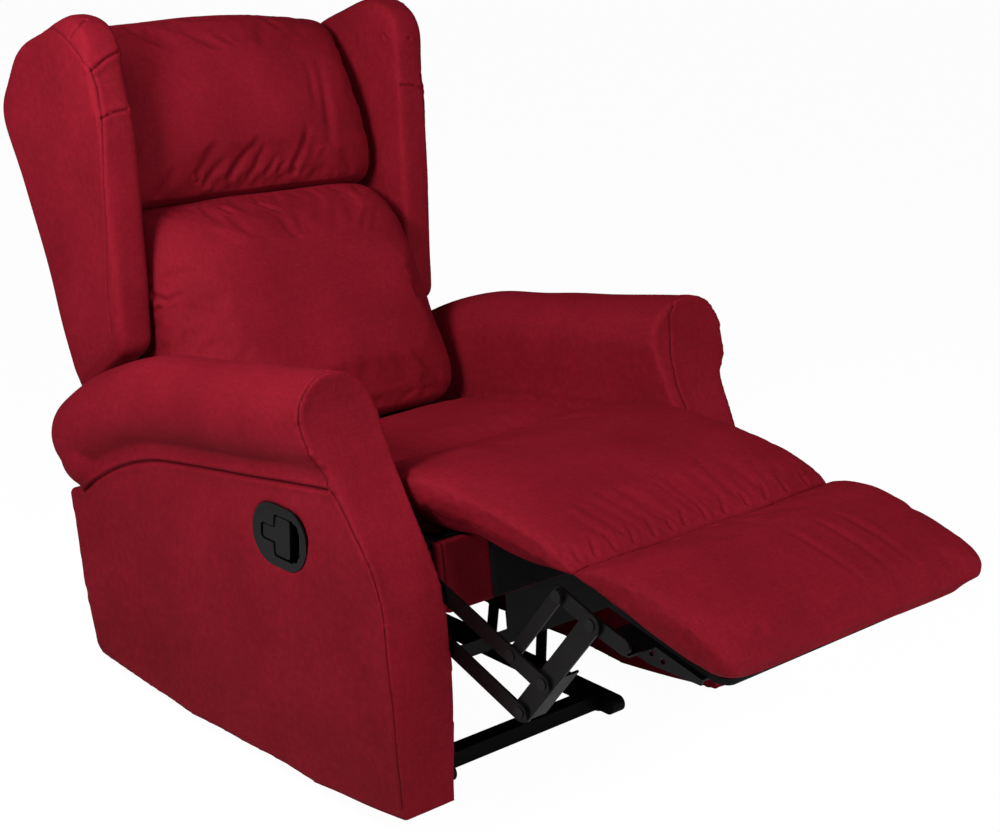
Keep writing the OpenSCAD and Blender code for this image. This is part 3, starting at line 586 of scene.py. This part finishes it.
def swollen(form, reach, held, matrix, spare):
    """The skin simulated as cloth round foam, cut larger than the form by the spare share.
    held gives how fast each place is sewn or pressed down, and reach is how far it may move."""
    steps = 20
    data = bpy.data.meshes.new("skin")
    form.to_mesh(data)
    carrier = bpy.data.objects.new("skin", data)
    bpy.context.collection.objects.link(carrier)
    fast = carrier.vertex_groups.new(name="fast")
    inverse = matrix.inverted()
    for vert in data.vertices:
        fast.add([vert.index], clamped(held(inverse @ vert.co)), "REPLACE")
    skin = carrier.modifiers.new("skin", "CLOTH")
    skin.settings.quality = 5
    skin.settings.mass = 0.3
    skin.settings.tension_stiffness = skin.settings.compression_stiffness = 12
    skin.settings.bending_stiffness = 0.6
    skin.settings.use_pressure = True
    skin.settings.uniform_pressure_force = 2.5
    skin.settings.shrink_min = -spare
    skin.settings.vertex_group_mass = "fast"
    skin.settings.effector_weights.gravity = 0
    skin.point_cache.frame_start, skin.point_cache.frame_end = 1, steps
    for step in range(1, steps + 1):
        bpy.context.scene.frame_set(step)
    moved = carrier.evaluated_get(bpy.context.evaluated_depsgraph_get()).data
    for vert, after in zip(form.verts, moved.vertices):
        shift = after.co - vert.co
        if shift.length > reach:
            shift *= reach / shift.length
        vert.co += shift
    bpy.data.objects.remove(carrier)
    bpy.context.scene.frame_set(1)


def finer(form):
    """One even subdivision, eased."""
    bmesh.ops.subdivide_edges(form, edges=form.edges, cuts=1, use_grid_fill=True)
    ease(form, 2)


def pillow(half_width, front, back, power, count=72, far=None):
    """Ring points (across, forward) of a cushion section: full in front, flat behind.
    The power squares its corners, and far those on the left side where they differ."""
    points = []
    for i in range(count):
        t = 2 * math.pi * (i + 0.5) / count
        c, s = math.cos(t), math.sin(t)
        bend = 2 / (far or power) if c > 0 else 2 / power
        x = half_width * math.copysign(abs(c) ** bend, c)
        y = (front if s < 0 else back) * abs(s) ** bend
        points.append((x, y))
    return points


# Seat cushion: a plain boxed cushion on the seat springs, between the arms and behind the front
# pad. Only its top shows, and the lumbar cushion presses on its rear end.
SEAT_W = 0.255
seat_top = [(0.19, 0.398), (0.2, 0.405), (0.24, 0.410), (0.44, 0.412), (0.5, 0.402), (0.56, 0.385),
            (0.584, 0.37)]


def seat_ring(y, inset):
    """Section of the cushion at a depth from the front, drawn in by the inset."""
    mid, foot = 0.372, 0.3308
    top = table(seat_top, y)
    return [(x, y, mid + z) for x, z in pillow(SEAT_W - inset, -(mid - foot), top - mid - inset, power=6)]


def seat_held(p):
    return 1.0 if p.z < 0.36 or p.y < 0.2 or p.y > 0.56 or abs(p.x) > 0.25 else 0.0


stations = [(0.1905, 0.006), (0.193, 0.002), (0.22, 0), (0.3, 0), (0.4, 0), (0.48, 0), (0.55, 0.002),
            (0.58, 0.008)]
form = lofted(seat_ring, stations, size=0.006, matrix=BODY)
ease(form, 4)
swollen(form, reach=0.006, held=seat_held, matrix=BODY, spare=0.003)
finer(form)
ripple(form, size=0.09, height=0.003, seed=21)
finished(form, "seat_pad", "seat_body", "seat_cushion")


# Front pad: one sewn pad from the seat's crease to the footrest's seam. It lies on the seat frame
# behind the fold and on nothing in front of it.
PAD_W = 0.2475
pad_top = [(-0.2405, 0.331), (-0.232, 0.340), (-0.215, 0.3515), (-0.19, 0.3625), (-0.147, 0.380),
           (-0.085, 0.398), (-0.02, 0.411), (0.03, 0.418), (0.077, 0.420), (0.14, 0.419), (0.17, 0.414),
           (0.182, 0.407), (0.1893, 0.396)]
pad_edge = [(-0.2405, 0.322), (-0.188, 0.322), (-0.119, 0.339), (-0.027, 0.359), (0.037, 0.372),
            (0.19, 0.376)]
pad_low = [(-0.2405, 0.317), (-0.225, 0.309), (-0.18, 0.304), (-0.12, 0.309), (-0.06, 0.320),
           (-0.02, 0.3304), (0.19, 0.3304)]


def pad_outline(top, edge, low, flat, turn):
    """Ring points (across from -1 to 1, up) of a pad: a soft top, sewn edges and a flat underside."""
    count, power = 96, 0.34
    mid = (top + edge) / 2
    outline = []
    for i in range(count):
        t = 2 * math.pi * (i + 0.5) / count
        c, s = math.cos(t), math.sin(t)
        across = math.copysign(abs(c) ** power, c)
        rise = abs(s) ** power
        if s > 0:
            up = mid + (top - mid) * rise
        else:
            inner = clamped((flat - abs(across)) / turn)
            up = mid - (mid - edge) * rise - (edge - low) * inner * inner * (3 - 2 * inner)
        outline.append((across, up))
    return outline


def pad_ring(y, inset):
    """Section of the front pad, a little fuller at its left edge."""
    fuller = 0.004
    top, edge, low = (table(rows, y) for rows in (pad_top, pad_edge, pad_low))
    return [((PAD_W - inset) * across + fuller * max(0, across), y, up + fuller * max(0, across))
            for across, up in pad_outline(top, edge, low, flat=0.96, turn=0.2)]


def front_pad_held(p):
    if p.y > 0.178 or p.z < 0.345 + 0.2 * (p.y + 0.07):
        return 1.0
    return max(0.0, 1 - (p.y + 0.24) / 0.02)


stations = [(-0.2405, 0.004), (-0.237, 0.002), (-0.228, 0.001), (-0.21, 0), (-0.17, 0), (-0.12, 0),
            (-0.07, 0), (-0.02, 0), (0.03, 0), (0.08, 0.001), (0.13, 0.002), (0.16, 0.004), (0.18, 0.008),
            (0.187, 0.012), (0.1893, 0.016)]
form = lofted(pad_ring, stations, size=0.005, matrix=BODY)
ease(form, 3)
swollen(form, reach=0.005, held=front_pad_held, matrix=BODY, spare=0.012)
finer(form)
ripple(form, size=0.10, height=0.003, seed=22)
pad_gathers = [(-0.225, 0.004, 0.02), (-0.198, 0.016, 0.026), (-0.165, 0.006, 0.016),
               (-0.129, 0.017, 0.028), (-0.092, 0.013, 0.026), (-0.06, 0.006, 0.015),
               (-0.036, 0.017, 0.024), (0.005, 0.008, 0.018), (0.04, 0.022, 0.028), (0.085, 0.008, 0.016),
               (0.122, 0.018, 0.024), (0.165, 0.01, 0.02), (0.21, 0.006, 0.02)]
seam_y = -0.238
for x, drift, length in pad_gathers:
    line = [(x, seam_y, 0.345), (x + 0.6 * drift, seam_y + 0.5 * length, 0.36),
            (x + drift, seam_y + length, 0.37)]
    fold(form, line, depth=0.002, width=0.0034, ridge=0.0008, sewn=True)
down = BODY.to_3x3() @ Vector((0, 0, -1))
pad = finished(form, "front_pad", None, "chaise_pad_rear", "chaise_pad_front", "crease_cord", under=down)
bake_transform(pad)


# Footrest pad: a wedge-shaped pad on the footrest board, sewn to the front pad along its rear edge
# and rounded at the tip. Small gathers run out of that seam, and three soft folds lie along its top.
rest_top = [(0.001, 0.004), (0.006, 0.012), (0.014, 0.018), (0.03, 0.027), (0.05, 0.034), (0.08, 0.040),
            (0.12, 0.044), (0.18, 0.043), (0.22, 0.038), (0.24, 0.030), (0.25, 0.021), (0.2555, 0.010)]
rest_edge = [(0.001, -0.003), (0.02, -0.006), (0.05, -0.0095), (0.13, -0.014), (0.21, -0.014),
             (0.235, -0.011), (0.25, -0.005), (0.2555, 0.001)]
rest_low = [(0.001, -0.006), (0.012, -0.018), (0.03, -0.038), (0.20, -0.0395), (0.222, -0.032),
            (0.24, -0.018), (0.25, -0.008), (0.2555, 0.001)]


def rest_ring(s, inset):
    """Section of the footrest pad, a little longer and fuller at its left edge."""
    wider, longer, fuller = 0.006, 0.03, 0.003
    top, edge, low = (table(rows, s) for rows in (rest_top, rest_edge, rest_low))
    return [((PAD_W - inset) * across + wider * max(0, across), s * (1 + longer * max(0, across)),
             -up - fuller * max(0, across))
            for across, up in pad_outline(top, edge, low, flat=0.94, turn=0.16)]


def rest_held(p):
    return 1.0 if p.z > 0.006 or p.y < 0.004 else 0.0


stations = [(0.001, 0.004), (0.004, 0.002), (0.012, 0.001), (0.03, 0), (0.07, 0), (0.12, 0), (0.17, 0),
            (0.21, 0.001), (0.228, 0.001), (0.242, 0.003), (0.25, 0.008), (0.2555, 0.017)]
form = lofted(rest_ring, stations, size=0.005, matrix=REST)
ease(form, 3)
swollen(form, reach=0.005, held=rest_held, matrix=REST, spare=0.012)
finer(form)
ripple(form, size=0.10, height=0.003, seed=24)
rest_gathers = [(-0.215, 0.002, 0.018), (-0.15, 0.006, 0.022), (-0.075, 0.004, 0.016),
                (-0.01, 0.008, 0.024), (0.06, 0.006, 0.018), (0.13, 0.008, 0.02), (0.2, 0.004, 0.016)]
for x, drift, length in rest_gathers:
    line = [(x, 0.004, -0.02), (x + drift, 0.004 + length, -0.045)]
    fold(form, line, depth=0.0015, width=0.0032, matrix=REST, ridge=0.0006, sewn=True)
for x, drift in ((0.024, 0.002), (0.077, 0.005), (0.118, 0.008)):
    line = [(x, 0.09, -0.045), (x + drift, 0.16, -0.045), (x + drift * 1.2, 0.238, -0.03)]
    fold(form, line, depth=0.0024, width=0.006, matrix=REST, ridge=0.0006, fine=False)
down = REST.to_3x3() @ Vector((0, 0, 1))
pad = finished(form, "footrest_pad", "footrest", "footrest_cushion", under=down)


# Lumbar cushion: the fullest cushion, sewn to the back along its top and free at its foot, where
# it gives way to the seat cushion. Soft folds run in from its top seam and its right edge.
BACK_FACE, LUMBAR_TOP = 0.0235, 0.487
lumbar_deep = [(0.094, 0.115), (0.1, 0.138), (0.118, 0.158), (0.15, 0.168), (0.2, 0.170), (0.26, 0.168),
               (0.34, 0.161), (0.4, 0.150), (0.44, 0.134), (0.465, 0.115), (0.48, 0.092), (0.487, 0.07)]
lumbar_wide = [(0.094, 0.236), (0.13, 0.247), (0.3, 0.245), (0.42, 0.240), (0.487, 0.232)]


def lumbar_ring(v, inset):
    """Section of the cushion at a height up the back; the left side is squarer."""
    deep, wide = table(lumbar_deep, v), table(lumbar_wide, v)
    square = table([(0.1, 8), (0.34, 7), (0.487, 4.5)], v)
    return [(x, BACK_FACE + u, v)
            for x, u in pillow(wide - inset, -deep + inset, 0.0, power=4.4, far=square)]


def lumbar_held(p):
    return 1.0 if p.y > -0.02 or p.z > 0.478 or p.z < 0.104 else 0.0


stations = [(0.094, 0.012), (0.1, 0.004), (0.118, 0), (0.15, 0), (0.2, 0), (0.26, 0), (0.34, 0), (0.4, 0),
            (0.44, 0), (0.465, 0.001), (0.48, 0.004), (LUMBAR_TOP, 0.010)]
form = lofted(lumbar_ring, stations, size=0.006, matrix=BACK)
ease(form, 5)
swollen(form, reach=0.007, held=lumbar_held, matrix=BACK, spare=0.01)
finer(form)
ripple(form, size=0.11, height=0.004, seed=26)
lumbar_folds = [([(-0.105, -0.10, 0.48), (-0.097, -0.11, 0.472), (-0.09, -0.12, 0.457)], 0.0026),
                ([(-0.03, -0.10, 0.483), (-0.02, -0.11, 0.468), (-0.003, -0.12, 0.45)], 0.0026),
                ([(-0.24, -0.05, 0.352), (-0.24, -0.08, 0.335), (-0.235, -0.13, 0.337)], 0.0035),
                ([(-0.24, -0.05, 0.322), (-0.24, -0.085, 0.332)], 0.003)]
for line, deep in lumbar_folds:
    fold(form, line, depth=deep, width=0.0045, matrix=BACK, ridge=0.0015)
pad = finished(form, "lumbar_pad", "backrest", "lumbar_cushion")
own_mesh(pad)


# Head cushion: foam between the wings, its cover gathered along the bottom seam and pulled over
# the top of the back. Two long soft folds run down its left side.
HEAD_W, ARCH = 0.2495, 0.017
head_deep = [(0.4885, 0.065), (0.494, 0.084), (0.51, 0.1), (0.54, 0.113), (0.6, 0.117), (0.66, 0.112),
             (0.7, 0.104), (0.74, 0.088), (0.765, 0.066), (0.778, 0.04), (0.783, 0.02)]


def head_ring(v, inset):
    """Section of the cushion at a height up the back."""
    deep = table(head_deep, v)
    return [(x, BACK_FACE + u, v) for x, u in pillow(HEAD_W - inset, -deep + inset, 0.0, power=5)]


def head_held(p):
    return 1.0 if p.y > -0.01 or p.z < 0.494 or abs(p.x) > 0.243 else 0.0


stations = [(0.4885, 0.008), (0.494, 0.003), (0.51, 0), (0.54, 0), (0.6, 0), (0.66, 0), (0.7, 0), (0.74, 0),
            (0.765, 0.002), (0.778, 0.008), (0.783, 0.016)]
form = lofted(head_ring, stations, size=0.006, matrix=BACK)
ease(form, 4)
swollen(form, reach=0.006, held=head_held, matrix=BACK, spare=0.012)
finer(form)
# The top edge arches up between the wings.
for vert in form.verts:
    spot = BACK.inverted() @ vert.co
    arch = ARCH * max(0, 1 - (spot.x / 0.245) ** 2) * clamped((spot.z - 0.66) / 0.1)
    vert.co += BACK.to_3x3() @ Vector((0, 0, arch))
ripple(form, size=0.11, height=0.004, seed=25)
gathers = [([(0.001, 0.57), (-0.013, 0.552), (-0.034, 0.532), (-0.049, 0.514), (-0.056, 0.495)],
            0.0042, 0.005),
           ([(0.099, 0.58), (0.091, 0.552), (0.08, 0.528), (0.069, 0.507), (0.066, 0.492)], 0.0045, 0.005),
           ([(0.012, 0.55), (-0.003, 0.523), (-0.017, 0.492)], 0.003, 0.0045),
           ([(-0.062, 0.538), (-0.086, 0.517), (-0.1, 0.492)], 0.0034, 0.005),
           ([(0.036, 0.532), (0.024, 0.511), (0.016, 0.492)], 0.0028, 0.004),
           ([(-0.117, 0.522), (-0.115, 0.507), (-0.117, 0.492)], 0.0024, 0.004),
           ([(0.16, 0.70), (0.153, 0.653), (0.145, 0.608), (0.141, 0.57), (0.133, 0.525)], 0.0022, 0.007),
           ([(0.138, 0.695), (0.131, 0.645), (0.122, 0.595)], 0.0016, 0.006),
           ([(0.05, 0.52), (0.043, 0.505), (0.041, 0.492)], 0.002, 0.0035)]
for line, deep, wide in gathers:
    points = [(x, -0.09, v) for x, v in reversed(line)]
    fold(form, points, depth=1.2 * deep, width=1.25 * wide, matrix=BACK, ridge=0.35 * deep,
         sewn=line[-1][1] < 0.5)
pad = finished(form, "head_pad", "backrest", "head_cushion")


# Front apron: crimson cloth, stapled over the front rail of the seat frame, with a plain seam near
# each arm. Only its two ends show, beside the black lining.
form = voxelled(solid_copy("front_apron"), size=0.004, matrix=BODY)
ease(form, 5)
SEAM_X, FACE_Y = 0.229, 0.017
for x in (-SEAM_X, SEAM_X):
    seam(form, [(x, FACE_Y, 0.33), (x, FACE_Y, 0.235)])
finished(form, "apron_cover", "seat_body", "front_apron")


# Apron lining: a black cambric strip, stretched over the middle of the apron and stapled along
# its top and bottom edges. It bellies a little between the staples.
LINING_L, LINING_H, LINING_Z = 0.3, 0.093, 0.2345
form = bmesh.new()
bmesh.ops.create_grid(form, x_segments=24, y_segments=8, size=1)
for vert in form.verts:
    x, z = vert.co.x * (LINING_L / 2), LINING_Z + (vert.co.y + 1) / 2 * LINING_H
    vert.co = BODY @ Vector((x, 0.0165 + 0.0015 * noise.noise(Vector((x * 14, z * 20, 3))), z))
bmesh.ops.solidify(form, geom=form.faces, thickness=0.0006)
lining = finished(form, "apron_lining", "seat_body", material=black_felt)


# Steelwork: pressed and folded strip, tube and rivets in satin black powder coat. The springs are
# oiled wire, and the grips, plugs and glides are moulded. The arms' boards are bare plywood.
def coated_steel(name, code, bright, rough):
    """Powder coat: a fine orange-peel surface, slightly duller and paler where it has been handled."""
    material, tree = new_material(name)
    coords = add_node(tree, "ShaderNodeTexCoord").outputs["Object"]
    peel = add_node(tree, "ShaderNodeTexNoise", Vector=coords, Scale=1400, Detail=2).outputs["Fac"]
    wear = add_node(tree, "ShaderNodeTexNoise", Vector=coords, Scale=22, Detail=5,
                    Roughness=0.7).outputs["Fac"]
    ramp = add_node(tree, "ShaderNodeValToRGB", Fac=wear)
    stops = ramp.color_ramp.elements
    stops[0].position, stops[0].color = 0.35, linear(code)
    stops[1].position, stops[1].color = 0.75, linear(bright)
    sheen = add_node(tree, "ShaderNodeMapRange", Value=wear, From_Min=0.3, From_Max=0.7, To_Min=rough,
                     To_Max=rough + 0.14)
    bump = add_node(tree, "ShaderNodeBump", Strength=0.25, Distance=0.0002, Height=peel)
    coat = add_node(tree, "ShaderNodeBsdfPrincipled", Base_Color=ramp.outputs[0],
                    Roughness=sheen.outputs[0], Normal=bump.outputs[0])
    coat.inputs["Specular IOR Level"].default_value = 0.22
    add_node(tree, "ShaderNodeOutputMaterial", Surface=coat.outputs[0])
    return material


black_coat = coated_steel("satin_black_powder_coat", "050506", "0a0a0b", 0.34)
rivet_black = coated_steel("blackened_rivet_steel", "0a0a0b", "141416", 0.28)
spring_grey = coated_steel("oiled_spring_wire", "3b3b3e", "57575b", 0.34)
moulded = coated_steel("satin_black_moulding", "0a0a0b", "101011", 0.36)
rubber = coated_steel("black_rubber", "121212", "1b1b1b", 0.7)
raw_wood = felt("arm_plywood", "6b533a")
for name, piece in nodes.items():
    if piece.hide_render or name in LINED:
        continue
    if name.endswith("rivets") or name == "pivot_pins":
        finish = rivet_black
    elif name == "seat_springs":
        finish = spring_grey
    elif name in ("handle_bezel", "handle_paddle", "rail_plugs", "floor_glides"):
        finish = moulded
    elif name == "stop_bumpers":
        finish = rubber
    elif name.startswith("arm_board"):
        finish = raw_wood
    else:
        finish = black_coat
    piece.data.materials.clear()
    piece.data.materials.append(finish)


# Release handle: a moulded oval cup let into the right arm, with a T-shaped paddle flush in its face
# plate and a finger recess in front of it. The paddle swings out about its rear edge.
MID_U = 0.008


def round_edge(reach, count=120):
    """Points of an outline round the middle, whose reach is given for each direction, corners eased."""
    points = []
    for a in np.linspace(0, 2 * math.pi, count, endpoint=False):
        far = reach(math.cos(a), math.sin(a))
        points.append(Vector((0, MID_U + far * math.cos(a), far * math.sin(a))))
    for _ in range(3):
        points = [(points[i - 1] + points[i] * 2 + points[(i + 1) % count]) / 4 for i in range(count)]
    return points


def box_reach(c, s, front, rear, half):
    """Distance from the middle to the edge of an oblong."""
    ends = (rear - MID_U) / c if c > 1e-6 else (front - MID_U) / c if c < -1e-6 else 9
    return min(ends, half / abs(s) if abs(s) > 1e-6 else 9)


def oval_reach(c, s, half_length, radius):
    """Distance from the middle to the edge of an oval with round ends, found by halving."""
    low, high = 0.0, 0.2
    for _ in range(24):
        mid = (low + high) / 2
        u, v = MID_U + c * mid, s * mid
        inside = math.hypot(max(0, abs(u) - half_length + radius), v) < radius
        low, high = (mid, high) if inside else (low, mid)
    return low


def plate(rings, depth, thick):
    """A flat plate with that outline, and an opening if there are two rings, its rims bevelled."""
    form = bmesh.new()
    edges = []
    for points in rings:
        edges += laid_ring(form, points)
    if len(rings) == 2:
        bmesh.ops.bridge_loops(form, edges=edges)
    else:
        bmesh.ops.contextual_create(form, geom=edges)
    bmesh.ops.solidify(form, geom=form.faces, thickness=thick)
    bmesh.ops.recalc_face_normals(form, faces=form.faces)
    rim = [e for e in form.edges if e.is_manifold and e.calc_face_angle() > 1.2]
    bmesh.ops.bevel(form, geom=rim, offset=0.0007, affect="EDGES", segments=2, profile=0.5, material=-1)
    centre = sum((v.co.x for v in form.verts)) / len(form.verts)
    bmesh.ops.transform(form, matrix=HANDLE @ Matrix.Translation((depth - centre, 0, 0)), verts=form.verts)
    return form


def opening_reach(c, s):
    """The T-shaped opening: its head, or its stem where that reaches further."""
    head = box_reach(c, s, front=-0.044, rear=0.012, half=0.0295)
    return max(head, box_reach(c, s, front=-0.01, rear=0.0405, half=0.0115))


def paddle_reach(c, s):
    """The T-shaped paddle, with a gap all round and the finger recess in front of it."""
    head = box_reach(c, s, front=-0.022, rear=0.0105, half=0.0275)
    return max(head, box_reach(c, s, front=-0.01, rear=0.0375, half=0.01))


oval = round_edge(lambda c, s: oval_reach(c, s, half_length=0.054, radius=0.038))
opening = [p if math.hypot(max(0, abs(p.y) - CUP_HALF), p.z) < 0.033 else Vector((0, p.y * 0.93, p.z * 0.9))
           for p in round_edge(opening_reach)]
form = plate([oval, opening], depth=-0.0018, thick=0.0024)
face_plate = finished(form, "handle_face_plate", "seat_body", material=moulded, kind="plastic")
form = plate([round_edge(paddle_reach)], depth=0.0008, thick=0.005)
paddle = finished(form, "handle_paddle_cover", "paddle", "handle_paddle", material=moulded, kind="plastic")
for piece in (face_plate, paddle):
    for face in piece.data.polygons:
        face.use_smooth = False
